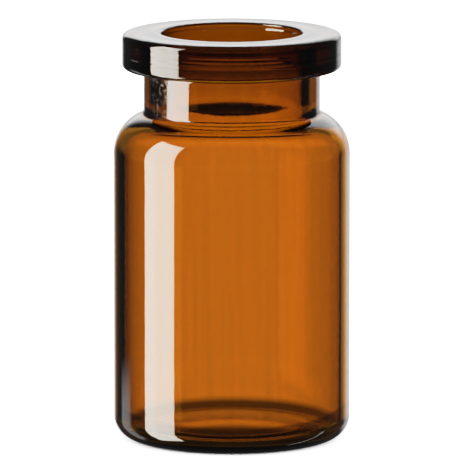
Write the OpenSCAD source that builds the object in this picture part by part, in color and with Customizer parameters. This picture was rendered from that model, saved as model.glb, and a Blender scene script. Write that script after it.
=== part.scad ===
// Small amber glass sample vial with a crimp lip, made in one piece from glass tube.
// The vial stands on a narrow ring round its hollowed base. +Z runs up its axis, and
// the origin is the centre of that ring, on the surface that the vial stands on.
// The glass is one section turned round the axis: an outside outline less an inside
// one, each made of straight walls and arcs that run into each other without a corner.

/* [Body] */
// Height from the standing surface to the top of the lip
height = 38; // [34:0.5:70]
// Outer diameter of the body
body_d = 22; // [20:0.1:25]
// Thickness of the glass in the body and round the shoulder
wall = 1; // [0.7:0.05:1.4]

/* [Shoulder] */
// Outer radius of the arc that turns the body in to the shoulder
shoulder_r = 4; // [2.5:0.05:4.5]
// Outer radius of the hollow arc that turns the shoulder up into the neck
neck_root_r = 0.55; // [0.3:0.05:1.5]

/* [Neck and mouth] */
// Outer diameter of the neck
neck_d = 16.4; // [15.4:0.1:18]
// Height of the neck's straight outside, from the shoulder to the lip
neck_h = 3.7; // [1.5:0.1:8]
// Inner diameter of the neck and the mouth, which takes the stopper's plug
mouth_d = 13; // [9:0.1:13.2]
// Radius of the rounded inner edge of the mouth
mouth_edge_r = 0.3; // [0.1:0.05:0.8]

/* [Lip] */
// Outer diameter of the lip, which a crimp cap folds round
lip_d = 20.4; // [19.2:0.1:23]
// Height of the lip
lip_h = 3.4; // [2.2:0.1:5]
// Radius of the lip's upper outer edge
lip_top_r = 0.6; // [0.1:0.05:0.9]
// Radius of the lip's lower outer edge
lip_bottom_r = 0.5; // [0.1:0.05:0.8]
// Radius of the hollow arc between the neck and the underside of the lip
lip_root_r = 0.4; // [0.1:0.05:0.6]

/* [Base] */
// Outer radius of the heel, where the wall turns into the base
heel_r = 2; // [0.8:0.1:3]
// Inner radius of the heel
inner_heel_r = 1.2; // [0.8:0.1:2.4]
// Thickness of the glass in the middle of the base
base_t = 1; // [0.8:0.05:2]
// Radius of the domed floor inside, which is flatter than the hollow under the base
floor_r = 47.6; // [36:0.4:120]
// Diameter of the shallow hollow under the base
hollow_d = 12.8; // [10:0.1:15.6]
// Depth of that hollow at its centre
hollow_h = 0.8; // [0.4:0.05:1]

/* [Hidden] */
$fn = 128;
amber = [0.60, 0.29, 0.04, 0.75];

body_r = body_d / 2;
neck_r = neck_d / 2;
mouth_r = mouth_d / 2;
lip_r = lip_d / 2;
lip_z = height - lip_h;
neck_z = lip_z - neck_h;

// Sideways share of the line that joins the centres of the two shoulder arcs. The inside
// arcs turn over on the same line, so the glass keeps its thickness round the shoulder
lean = (neck_r + neck_root_r - (body_r - shoulder_r)) / (shoulder_r + neck_root_r);
rise = sqrt(1 - lean ^ 2);
shoulder_z = neck_z - (shoulder_r + neck_root_r) * rise;

inner_r = body_r - wall;
inner_shoulder_r = shoulder_r - wall;
inner_root_r = (body_r - shoulder_r + inner_shoulder_r * lean - mouth_r) / (1 - lean);

// The hollow under the base and the floor inside are parts of two spheres, and the floor's
// sphere touches the inner arc of the heel
hollow_r = hollow_d / 2;
hollow_ball_r = (hollow_r ^ 2 + hollow_h ^ 2) / (2 * hollow_h);
floor_z = hollow_h + base_t - floor_r;
inner_heel_x = inner_r - inner_heel_r;
inner_heel_z = floor_z + sqrt((floor_r + inner_heel_r) ^ 2 - inner_heel_x ^ 2);

// Rectangle from the axis out to radius r, between two heights
module band(r, low, high) {
    polygon([[0, low], [r, low], [r, high], [0, high]]);
}

// Hollow quarter arc in the corner just under a ledge, between a wall at radius wall_r
// and the ledge's height
module corner_arc(wall_r, ledge_z, arc_r) {
    difference() {
        band(wall_r + arc_r, ledge_z - arc_r, ledge_z);
        translate([wall_r + arc_r, ledge_z - arc_r]) circle(arc_r);
    }
}

// Half of a shoulder: a full arc that turns the side in, then a hollow arc that turns it
// up into the neck. The two arcs touch on the line between their centres. It reaches down
// into the body, so that the two overlap
module shoulder(side_r, turn_r, root_r) {
    turn_x = side_r - turn_r;
    root_centre = (turn_r + root_r) * [lean, rise];
    translate([turn_x, shoulder_z]) {
        circle(turn_r);
        difference() {
            polygon([
                [-turn_x, -turn_r],
                [0, -turn_r],
                [0, 0],
                root_centre,
                [-turn_x, root_centre.y]
            ]);
            translate(root_centre) circle(root_r);
        }
    }
}

// Half of the outside up to the neck: heel, straight body, shoulder and neck
module outer_body() {
    band(body_r - heel_r, 0, heel_r);
    translate([body_r - heel_r, heel_r]) circle(heel_r);
    band(body_r, heel_r, shoulder_z);
    shoulder(body_r, shoulder_r, neck_root_r);
    band(neck_r, shoulder_z, lip_z);
}

// Half of the lip, with both outer edges rounded, and the arc that joins it to the neck
module lip() {
    corner_arc(neck_r, lip_z, lip_root_r);
    band(lip_r - lip_bottom_r, lip_z, lip_z + lip_bottom_r);
    translate([lip_r - lip_bottom_r, lip_z + lip_bottom_r]) circle(lip_bottom_r);
    band(lip_r, lip_z + lip_bottom_r, height - lip_top_r);
    translate([lip_r - lip_top_r, height - lip_top_r]) circle(lip_top_r);
    band(lip_r - lip_top_r, height - lip_top_r, height);
}

// Half of the space inside: domed floor, heel, straight wall, shoulder, neck and mouth
module inside() {
    difference() {
        polygon([[0, floor_z], [inner_heel_x, inner_heel_z], [0, inner_heel_z]]);
        translate([0, floor_z]) circle(floor_r);
    }
    translate([inner_heel_x, inner_heel_z]) circle(inner_heel_r);
    band(inner_r, inner_heel_z, shoulder_z);
    shoulder(inner_r, inner_shoulder_r, inner_root_r);
    band(mouth_r, shoulder_z, height);
    corner_arc(mouth_r, height, mouth_edge_r);
}

// Half of the shallow hollow under the base
module base_hollow() {
    intersection() {
        translate([0, hollow_h - hollow_ball_r]) circle(hollow_ball_r);
        band(hollow_r, 0, hollow_h);
    }
}

// The whole vial, one piece of glass
module vial() {
    color(amber) rotate_extrude() difference() {
        union() {
            outer_body();
            lip();
        }
        inside();
        base_hollow();
    }
}

vial();
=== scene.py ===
# Looks of a small amber glass sample vial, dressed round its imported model. Lengths are metres.
import math

import bmesh
import bpy
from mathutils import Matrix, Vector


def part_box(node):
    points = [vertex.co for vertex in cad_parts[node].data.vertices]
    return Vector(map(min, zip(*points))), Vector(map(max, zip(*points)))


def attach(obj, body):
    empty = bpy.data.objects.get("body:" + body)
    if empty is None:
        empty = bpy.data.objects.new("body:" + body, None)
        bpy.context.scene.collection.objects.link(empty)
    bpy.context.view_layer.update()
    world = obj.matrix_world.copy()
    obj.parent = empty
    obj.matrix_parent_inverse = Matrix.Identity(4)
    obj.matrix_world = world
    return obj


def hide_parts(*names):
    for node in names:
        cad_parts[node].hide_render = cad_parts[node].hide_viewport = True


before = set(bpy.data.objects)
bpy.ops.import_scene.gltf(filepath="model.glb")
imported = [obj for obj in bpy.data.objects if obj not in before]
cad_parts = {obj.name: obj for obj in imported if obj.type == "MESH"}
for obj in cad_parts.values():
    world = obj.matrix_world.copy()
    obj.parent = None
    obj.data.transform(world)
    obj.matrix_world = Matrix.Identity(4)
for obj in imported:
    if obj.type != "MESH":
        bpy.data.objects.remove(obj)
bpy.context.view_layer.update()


# The vial. It is one piece of amber glass tube. The base is melted shut, the shoulder and neck
# are drawn in over a flame, and the lip is pressed and rolled while it is soft.
MM = 0.001
vial_low, vial_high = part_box("vial")

body_r = (vial_high.x - vial_low.x) / 2
height = vial_high.z - vial_low.z
wall = 1.0 * MM

heel_r = 2.0 * MM
inner_heel_r = 1.2 * MM
base_t = 1.0 * MM
floor_r = 47.6 * MM
hollow_r = 6.4 * MM
hollow_h = 0.8 * MM

shoulder_r = 4.0 * MM
neck_root_r = 0.55 * MM
neck_r = 8.2 * MM
neck_h = 3.7 * MM
mouth_r = 6.5 * MM
mouth_edge_r = 0.3 * MM

lip_r = 10.2 * MM
lip_h = 3.4 * MM
lip_top_r = 0.6 * MM
lip_bottom_r = 0.5 * MM
lip_root_r = 0.4 * MM

# Heights and arc centres that follow from those sizes
lip_z = height - lip_h
neck_z = lip_z - neck_h
lean = (neck_r + neck_root_r - (body_r - shoulder_r)) / (shoulder_r + neck_root_r)
lean_angle = math.degrees(math.asin(lean))
shoulder_x = body_r - shoulder_r
shoulder_z = neck_z - (shoulder_r + neck_root_r) * math.cos(math.radians(lean_angle))
inner_r = body_r - wall
hollow_ball_r = (hollow_r ** 2 + hollow_h ** 2) / (2 * hollow_h)
hollow_angle = math.degrees(math.acos(hollow_r / hollow_ball_r))
floor_z = hollow_h + base_t - floor_r
inner_heel_x = inner_r - inner_heel_r
inner_heel_z = floor_z + math.sqrt((floor_r + inner_heel_r) ** 2 - inner_heel_x ** 2)
inner_heel_angle = math.degrees(math.acos(inner_heel_x / (floor_r + inner_heel_r)))


def arc(centre_r, centre_z, radius, start, end, steps):
    """Points of a round stretch of the outline. Angles are degrees, 0 outward and 90 up."""
    angles = [math.radians(start + (end - start) * i / steps) for i in range(steps + 1)]
    return [(centre_r + radius * math.cos(a), centre_z + radius * math.sin(a)) for a in angles]


def wall_line(start, end, steps):
    """Points of a straight stretch of the outline, both ends left out."""
    shares = [i / steps for i in range(1, steps)]
    return [(start[0] + (end[0] - start[0]) * t, start[1] + (end[1] - start[1]) * t) for t in shares]


def inside_shoulder(angle):
    """The inside from the bore out to the body's wall, which the photograph doesn't show. Its
    front and back differ, so that the dark bands at the neck root fall as in the photograph."""
    front = 0.5 - 0.5 * math.sin(angle)
    root_r = (3.66 - 1.47 * front) * MM
    turn_r = (2.22 + 0.71 * front) * MM
    slope = 63.1 + 2.5 * front
    turn_z = shoulder_z + (0.01 - 0.03 * front) * MM
    sine, cosine = math.sin(math.radians(slope)), math.cos(math.radians(slope))
    cone = (inner_r - mouth_r - (root_r + turn_r) * (1 - cosine)) / sine
    top_r = inner_r - turn_r * (1 - cosine) - cone * sine
    top_z = turn_z + turn_r * sine + cone * cosine
    root = arc(top_r + root_r * cosine, top_z + root_r * sine, root_r, 180, 180 + slope, 34)
    turn = arc(inner_r - turn_r, turn_z, turn_r, slope, 0, 30)
    return root + wall_line(root[-1], turn[0], 5) + turn


def lip_rings(z, angle):
    """How far the fine rings, most likely left by the rollers, stand out from the lip's side."""
    front = 0.5 - 0.5 * math.sin(angle)
    wander = 0.05 * math.sin(angle + 0.6) + 0.03 * math.sin(3 * angle)
    full_turns = (z / MM + wander) * 2 * math.pi
    fade = math.sin(math.pi * min(1, max(0, (z - lip_z) / lip_h))) ** 0.5
    fine_pitch, coarse_pitch = 0.37, 0.59
    rings = math.sin(full_turns / fine_pitch) + 0.5 * math.sin(full_turns / coarse_pitch + 1)
    ring_depth = 0.004 * MM
    return ring_depth * rings * fade * front ** 1.5


def bore_groove(z, angle):
    """Depth of a shallow groove under the mouth's edge, guessed from the highlight there."""
    deepest, middle_z, width = 0.05 * MM, 37.62 * MM, 0.2 * MM
    return deepest * math.exp(-((z - middle_z) / width) ** 2)


def crown_drop(r):
    """The flat top of the lip sinks a little towards its two edges."""
    middle = (lip_r - lip_top_r + mouth_r + mouth_edge_r) / 2
    half = (lip_r - lip_top_r - mouth_r - mouth_edge_r) / 2
    edge_drop = 0.045 * MM
    return edge_drop * ((r - middle) / half) ** 2


def section(angle):
    """The glass's section at one angle, from the middle of the base round to the floor inside."""
    hollow = arc(0, hollow_h - hollow_ball_r, hollow_ball_r, 90, hollow_angle, 12)
    heel = arc(body_r - heel_r, heel_r, heel_r, -90, 0, 26)
    shoulder = arc(shoulder_x, shoulder_z, shoulder_r, 0, 90 - lean_angle, 26)
    neck_root = arc(neck_r + neck_root_r, neck_z, neck_root_r, 270 - lean_angle, 180, 14)
    lip_root = arc(neck_r + lip_root_r, lip_z - lip_root_r, lip_root_r, 180, 90, 8)
    lip_low = arc(lip_r - lip_bottom_r, lip_z + lip_bottom_r, lip_bottom_r, -90, 0, 14)
    lip_high = arc(lip_r - lip_top_r, height - lip_top_r, lip_top_r, 0, 90, 16)
    mouth_edge = arc(mouth_r + mouth_edge_r, height - mouth_edge_r, mouth_edge_r, 90, 180, 12)
    inside = inside_shoulder(angle)
    inner_heel = arc(inner_heel_x, inner_heel_z, inner_heel_r, 0, inner_heel_angle - 180, 26)
    floor = arc(0, floor_z, floor_r, inner_heel_angle, 90, 14)

    line = hollow + wall_line(hollow[-1], heel[0], 4)
    line += heel + wall_line(heel[-1], shoulder[0], 24)
    line += shoulder + neck_root[1:] + wall_line(neck_root[-1], lip_root[0], 6)
    line += lip_root + wall_line(lip_root[-1], lip_low[0], 4)
    lip_side = lip_low + wall_line(lip_low[-1], lip_high[0], 56) + lip_high
    line += [(r + lip_rings(z, angle), z) for r, z in lip_side]
    crown = wall_line(lip_high[-1], mouth_edge[0], 12)
    line += [(r, z - crown_drop(r)) for r, z in crown]
    below = (mouth_r, 36.9 * MM)
    bore = mouth_edge + wall_line(mouth_edge[-1], below, 14) + wall_line(below, inside[0], 28)
    line += [(r + bore_groove(z, angle), z) for r, z in bore]
    line += inside + wall_line(inside[-1], inner_heel[0], 24)
    return line + inner_heel + floor[1:]


def turned(name, segments):
    """A closed mesh of the sections set side by side round the axis."""
    shape = bmesh.new()
    sections = [section(2 * math.pi * i / segments) for i in range(segments)]
    rings = []
    for points in zip(*sections):
        if points[0][0] < 1e-7:
            rings.append([shape.verts.new((0, 0, points[0][1]))])
            continue
        turns = [2 * math.pi * i / segments for i in range(segments)]
        spots = [(r * math.cos(a), r * math.sin(a), z) for a, (r, z) in zip(turns, points)]
        rings.append([shape.verts.new(spot) for spot in spots])
    for under, over in zip(rings, rings[1:]):
        for i in range(segments):
            corners = [under[i % len(under)], under[(i + 1) % len(under)]]
            corners += [over[(i + 1) % len(over)], over[i % len(over)]]
            shape.faces.new(list(dict.fromkeys(corners)))
    bmesh.ops.recalc_face_normals(shape, faces=shape.faces)
    mesh = bpy.data.meshes.new(name)
    shape.to_mesh(mesh)
    shape.free()
    mesh.shade_smooth()
    piece = bpy.data.objects.new(name, mesh)
    bpy.context.scene.collection.objects.link(piece)
    return piece


def added(tree, kind, inputs, output=0, **settings):
    """A node with its settings, and its inputs linked or set in order. Gives one output."""
    node = tree.nodes.new(kind)
    for name, value in settings.items():
        setattr(node, name, value)
    for socket, value in zip(node.inputs, inputs):
        if isinstance(value, bpy.types.NodeSocket):
            tree.links.new(value, socket)
        elif value is not None:
            socket.default_value = value
    return node.outputs[output]


def sums_for(tree):
    """Two functions for one node tree: maths on any number of inputs, and a smooth ramp."""
    def maths(operation, *inputs):
        result = added(tree, "ShaderNodeMath", inputs[:2], operation=operation)
        for value in inputs[2:]:
            result = added(tree, "ShaderNodeMath", (result, value), operation=operation)
        return result

    def ramp(value, start, end, low=0.0, high=1.0):
        inputs = (value, start, end, low, high)
        return added(tree, "ShaderNodeMapRange", inputs, interpolation_type="SMOOTHSTEP")

    return maths, ramp


def glass_marks():
    """Marks on the glass, in millimetres of the vial: streaks drawn along the body, pits on the
    neck, and painted light and shade: dark and bright rings painted on the front of the lip, a
    darker, redder back of the lip and painted shade on the heel. The front is set to agree with
    the photograph. The back isn't in it, so its shades are guesses."""
    group = bpy.data.node_groups.new("glass_marks", "ShaderNodeTree")
    group.interface.new_socket("Tint", in_out="OUTPUT", socket_type="NodeSocketColor")
    group.interface.new_socket("Roughness", in_out="OUTPUT", socket_type="NodeSocketFloat")
    group.interface.new_socket("Height", in_out="OUTPUT", socket_type="NodeSocketFloat")

    maths, ramp = sums_for(group)

    def noise(stretch, scale, detail):
        spot = added(group, "ShaderNodeVectorMath", (place, stretch), operation="MULTIPLY")
        return maths("SUBTRACT", added(group, "ShaderNodeTexNoise", (spot, None, scale, detail)), 0.5)

    spots = added(group, "ShaderNodeTexCoord", (), 3)
    place = added(group, "ShaderNodeVectorMath", (spots, (1000, 1000, 1000)), operation="MULTIPLY")
    split = group.nodes.new("ShaderNodeSeparateXYZ")
    group.links.new(place, split.inputs[0])
    x, y, z = split.outputs
    radius = maths("SQRT", maths("ADD", maths("MULTIPLY", x, x), maths("MULTIPLY", y, y)))
    front = maths("DIVIDE", maths("MULTIPLY", y, -1.0), maths("MAXIMUM", radius, 0.1))

    on_lip = maths("MULTIPLY", ramp(radius, 8.9, 9.3), ramp(z, 34.3, 34.5))
    on_body = maths("MULTIPLY", ramp(z, 3, 5), ramp(z, 28, 26))
    on_neck = maths("MULTIPLY", ramp(radius, 7.4, 7.6), ramp(z, 30.3, 31), ramp(z, 34.6, 34.4))

    streaks = noise((1, 1, 0.03), 1.3, 3)
    waves = noise((1, 1, 0.3), 0.3, 1)
    pits = noise((1, 1, 1), 5.5, 3)
    scratches = noise((0.12, 0.12, 1), 4.5, 2)

    # Painted shade and highlights: dark and bright rings painted up the front of the lip, each a
    # share of the lip's height and a shade.
    # They were set to agree with the photograph
    rings_low, rings_height = 34.5, 3.5
    wander = maths("ADD", z, maths("MULTIPLY", noise((0.25, 0.25, 0.4), 1.0, 1), 0.08))
    rings = group.nodes.new("ShaderNodeValToRGB")
    share = maths("DIVIDE", maths("SUBTRACT", wander, rings_low), rings_height)
    group.links.new(share, rings.inputs[0])
    painted_ring_shades = (
        (0.09, 0.8), (0.19, 0.33), (0.25, 0.2), (0.35, 0.07), (0.40, 0.9),
        (0.46, 0.5), (0.51, 0.14), (0.55, 1.0), (0.61, 0.6), (0.64, 1.0),
        (0.72, 1.0), (0.76, 0.12), (0.83, 0.12), (0.93, 1.0),
    )
    while len(rings.color_ramp.elements) < len(painted_ring_shades):
        rings.color_ramp.elements.new(0.5)
    for stop, (spot, shade) in zip(rings.color_ramp.elements, painted_ring_shades):
        stop.position = spot
        stop.color = (shade, shade, shade, 1)
    lip_front = maths("MULTIPLY", on_lip, ramp(front, 0.0, 0.4))
    painted_ring_drop = maths("SUBTRACT", rings.outputs[0], 1.0)
    lip_painted_shade = maths("ADD", 1.0, maths("MULTIPLY", lip_front, painted_ring_drop))

    # Painted shade on the outside of the heel, where the base was melted shut, stronger at the front,
    # with one lighter line left in it
    heel_x = maths("SUBTRACT", radius, 9.0)
    heel_z = maths("MINIMUM", maths("SUBTRACT", z, 2.0), 0.0)
    squares = maths("ADD", maths("MULTIPLY", heel_x, heel_x), maths("MULTIPLY", heel_z, heel_z))
    from_heel = maths("SQRT", squares)
    on_heel = maths("MULTIPLY", ramp(from_heel, 1.65, 1.75), ramp(radius, 8.9, 9.1))
    heel_top = maths("ADD", 2.75, maths("MULTIPLY", maths("SUBTRACT", 1.0, front), 1.3))
    painted_heel_shade = maths("SUBTRACT", ramp(maths("SUBTRACT", heel_top, z), -0.2, 0.3), ramp(z, 1.85, 1.75))
    painted_heel_shade = maths("ADD", painted_heel_shade, ramp(z, 1.6, 1.4))
    painted_heel_shade = maths("MULTIPLY", on_heel, painted_heel_shade, ramp(front, 0.0, 0.6, 0.0, 0.9))
    heel_shade = maths("SUBTRACT", 1.0, painted_heel_shade)
    streak_shade = maths("ADD", 0.97, maths("MULTIPLY", streaks, 0.22))

    # The tints of the two colours in each mix go in at its seventh and eighth sockets
    shade = maths("MULTIPLY", lip_painted_shade, heel_shade, streak_shade)
    # On the front of the lip the amber turns lighter and yellower: painted light, part of the painted
    # rings
    amber = added(group, "ShaderNodeMix", (lip_front,), 2, data_type="RGBA")
    amber.node.inputs[6].default_value = (1.0, 0.60, 0.34, 1)
    amber.node.inputs[7].default_value = (1.0, 0.85, 0.5, 1)
    tint = added(group, "ShaderNodeVectorMath", (amber, shade), operation="MULTIPLY")
    # The back of the lip is painted darker and redder: painted shade
    lip_back = maths("MULTIPLY", on_lip, ramp(front, 0.0, -0.4))
    whole = added(group, "ShaderNodeMix", (lip_back,), 2, data_type="RGBA")
    group.links.new(tint, whole.node.inputs[6])
    whole.node.inputs[7].default_value = (0.55, 0.15, 0.15, 1)

    left = maths("MULTIPLY", ramp(x, -5.0, -6.2), ramp(x, -7.8, -6.9))
    frosted = maths("MULTIPLY", on_neck, left, ramp(noise((1, 1, 0.7), 3.0, 4), -0.15, 0.3))

    # Relief, each mark with its depth in millimetres
    in_root = maths("MULTIPLY", ramp(radius, 8.0, 7.8), ramp(z, 27.5, 28.5), ramp(z, 32.5, 31.5))
    height = maths(
        "ADD",
        maths("MULTIPLY", waves, 0.006),
        maths("MULTIPLY", streaks, on_body, 0.0025),
        maths("MULTIPLY", pits, on_neck, 0.0016),
        maths("MULTIPLY", pits, frosted, 0.035),
        maths("MULTIPLY", noise((1, 1, 1), 1.3, 2), in_root, 0.014),
        maths("MULTIPLY", maths("ADD", pits, scratches), on_lip, 0.0009),
    )

    results = group.nodes.new("NodeGroupOutput")
    group.links.new(whole, results.inputs["Tint"])
    group.links.new(maths("MULTIPLY", frosted, 0.38), results.inputs["Roughness"])
    group.links.new(height, results.inputs["Height"])
    return group


def amber_glass():
    """Clear amber glass: a tint that each surface takes, and more with the depth of glass."""
    material = bpy.data.materials.new("amber_glass")
    material.use_nodes = True
    tree = material.node_tree
    glass = tree.nodes["Principled BSDF"]
    glass.inputs["IOR"].default_value = 1.5
    glass.inputs["Transmission Weight"].default_value = 1.0
    marks = tree.nodes.new("ShaderNodeGroup")
    marks.node_tree = glass_marks()
    tree.links.new(marks.outputs["Tint"], glass.inputs["Base Color"])
    tree.links.new(marks.outputs["Roughness"], glass.inputs["Roughness"])
    relief = tree.nodes.new("ShaderNodeBump")
    relief.inputs["Strength"].default_value = 1.0
    relief.inputs["Distance"].default_value = MM
    tree.links.new(marks.outputs["Height"], relief.inputs["Height"])
    tree.links.new(relief.outputs["Normal"], glass.inputs["Normal"])
    depth = tree.nodes.new("ShaderNodeVolumeAbsorption")
    depth.inputs["Density"].default_value = 10000
    depth.inputs["Color"].default_value = (0.958, 0.941, 0.84, 1)
    tree.links.new(depth.outputs["Volume"], tree.nodes["Material Output"].inputs["Volume"])
    return material


vial = turned("vial_glass", 240)
vial.data.materials.append(amber_glass())
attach(vial, "root")
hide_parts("vial")


# The table. A plain pale sweep that the vial stands on. Only the camera and soft light see it.
def pale_floor():
    """A wide flat sheet, just under the glass."""
    reach = 1.6
    mesh = bpy.data.meshes.new("floor")
    corners = [(-reach, -reach), (reach, -reach), (reach, reach), (-reach, reach)]
    mesh.from_pydata([(x, y, -0.01 * MM) for x, y in corners], [], [(0, 1, 2, 3)])
    floor = bpy.data.objects.new("floor", mesh)
    bpy.context.scene.collection.objects.link(floor)
    material = bpy.data.materials.new("pale_sweep")
    material.use_nodes = True
    surface = material.node_tree.nodes["Principled BSDF"]
    surface.inputs["Base Color"].default_value = (0.9, 0.9, 0.9, 1)
    surface.inputs["Roughness"].default_value = 1.0
    surface.inputs["Specular IOR Level"].default_value = 0.0
    mesh.materials.append(material)
    floor.visible_glossy = False
    floor.visible_transmission = False


pale_floor()


# The studio. A white backdrop behind the vial with dark at its sides, one tall soft light at the
# left and a narrow one at the right, all far away. Reflections and what is seen through the glass
# have panels of their own, set to agree with the photograph from its angle, as no real room has.
world = bpy.data.worlds.new("studio")
world.use_nodes = True
bpy.context.scene.world = world
sky, sky_links = world.node_tree.nodes, world.node_tree.links
sky.clear()


maths, ramp = sums_for(world.node_tree)

split = sky.new("ShaderNodeSeparateXYZ")
sky_links.new(sky.new("ShaderNodeTexCoord").outputs["Generated"], split.inputs[0])
turn = maths("DEGREES", maths("ARCTAN2", split.outputs["X"], split.outputs["Y"]))
rise = maths("DEGREES", maths("ARCSINE", split.outputs["Z"]))


def between(value, start, end):
    """1 where the value lies between two limits. Each limit is given with its softness."""
    (low, low_edge), (high, high_edge) = start, end
    up = ramp(value, low - low_edge, low + low_edge)
    down = ramp(value, high + high_edge, high - high_edge)
    return maths("MULTIPLY", up, down)


def panel(left, right, bottom, top, brightness):
    """A light panel between two turns and two rises, in degrees seen from the vial. Turn 0 is
    straight behind the vial and grows to the right."""
    sides, heights = between(turn, left, right), between(rise, bottom, top)
    return maths("MULTIPLY", sides, heights, brightness)


# What the glass reflects: the backdrop's lower and upper part, the table at the left, the tall
# soft light, the narrow light, and the dark room
softbox_left, softbox_right = (-122, 0.5), (-86, 0.5)
dark_room = 0.06
reflected = maths(
    "ADD",
    panel((-20, 6), (35, 6), (-20, 4), (5, 4), 1.1),
    panel((-20, 6), (35, 6), (6.5, 4.5), (45, 2), 2.1),
    panel((-62, 3), (-44, 3), (-40, 3), (-10.4, 0.2), 1.2),
    panel(softbox_left, softbox_right, (-45, 2), (42, 2), 15.0),
    panel((73, 0.5), (77, 0.5), (-60, 2), (-20, 2), 2.0),
    dark_room,
)

# What is seen through the glass: the backdrop, the tall soft light, a pale band level with the
# vial at each side, a faint wall, the table far and near, its pale edges, and the room in front
seen_through = maths(
    "ADD",
    panel((-15.7, 8.8), (34, 6), (-14.5, 2.5), (20, 2.5), 1.40),
    panel((-126, 0.5), (-90, 0.5), (-60, 2), (-6.5, 1), 4.4),
    panel((-190, 3), (-58, 3), (-6, 1), (1.5, 2), 1.2),
    panel((58, 3), (190, 3), (-6, 1), (1.5, 2), 1.2),
    panel((-90, 10), (90, 10), (0, 5), (50, 6), 0.5),
    panel((-190, 1), (190, 1), (-62, 4), (-14.5, 2.5), 0.2),
    panel((-190, 1), (190, 1), (-95, 1), (-62, 4), 0.35),
    panel((-190, 3), (-28, 4), (-31, 2), (-18, 2), 1.2),
    panel((40, 4), (190, 3), (-31, 2), (-18, 2), 1.2),
    panel((-190, 3), (-58, 3), (-18, 2), (-12.5, 1), 1.3),
    panel((58, 3), (190, 3), (-18, 2), (-12.5, 1), 1.3),
    panel((95, 5), (190, 5), (-40, 5), (60, 5), 0.2),
    panel((-190, 5), (-125, 5), (-40, 5), (60, 5), 0.2),
)

path = sky.new("ShaderNodeLightPath")
kinds = ("Is Glossy Ray", "Is Transmission Ray", "Is Camera Ray")
glossy, through, direct = (path.outputs[kind] for kind in kinds)


def either(choice, usual, chosen):
    """The usual strength, or the chosen one for rays of one kind."""
    return added(world.node_tree, "ShaderNodeMix", (choice, None, usual, chosen))


# A ray that has passed through the glass also counts as glossy, so it is chosen after that
for_soft_light = 9.5
white_ground = 5.0
shown = either(glossy, for_soft_light, reflected)
shown = either(through, shown, seen_through)
shown = either(direct, shown, white_ground)

# The soft light's cloth is warmer in its folds
folds = maths("COSINE", maths("MULTIPLY", maths("ADD", turn, 96), 0.37))
fold_warmth = maths("SUBTRACT", 0.65, maths("MULTIPLY", folds, 0.3))
warmth = maths("MULTIPLY", between(turn, softbox_left, softbox_right), fold_warmth, glossy)
tint = sky.new("ShaderNodeMix")
tint.data_type = "RGBA"
sky_links.new(warmth, tint.inputs[0])
tint.inputs[6].default_value = (1, 1, 1, 1)
tint.inputs[7].default_value = (1, 0.88, 0.72, 1)
light = sky.new("ShaderNodeBackground")
sky_links.new(tint.outputs[2], light.inputs["Color"])
sky_links.new(shown, light.inputs["Strength"])
sky_links.new(light.outputs[0], sky.new("ShaderNodeOutputWorld").inputs["Surface"])


# The camera stands a little above the vial, at the photograph's distance and angle.
camera_distance = 735.7 * MM
camera_rise = math.radians(9.260)
camera_pitch = math.radians(9.297)
camera_aside = -0.257 * MM
aim_z = 20 * MM
camera_data = bpy.data.cameras.new("camera")
camera_data.sensor_width = 36
camera_data.lens = 622.4
camera_data.clip_start = 0.01
camera_data.clip_end = 10
camera = bpy.data.objects.new("camera", camera_data)
camera.location = (
    camera_aside,
    -camera_distance * math.cos(camera_rise),
    aim_z + camera_distance * math.sin(camera_rise),
)
camera.rotation_euler = (math.pi / 2 - camera_pitch, 0, 0)
bpy.context.scene.collection.objects.link(camera)
bpy.context.scene.camera = camera

# The picture's response, with a soft top so that the white ground and the highlights keep apart
scene = bpy.context.scene
scene.view_settings.view_transform = "Standard"
scene.view_settings.look = "None"
scene.view_settings.use_curve_mapping = True
response = scene.view_settings.curve_mapping
response.white_level = (4, 4, 4)
for x, y in ((0.05, 0.2), (0.1, 0.4), (0.15, 0.6), (0.29, 0.81), (0.5, 0.93)):
    response.curves[3].points.new(x, y)
response.update()
scene.cycles.max_bounces = 32
scene.cycles.transmission_bounces = 32
scene.cycles.glossy_bounces = 16
scene.cycles.use_denoising = True
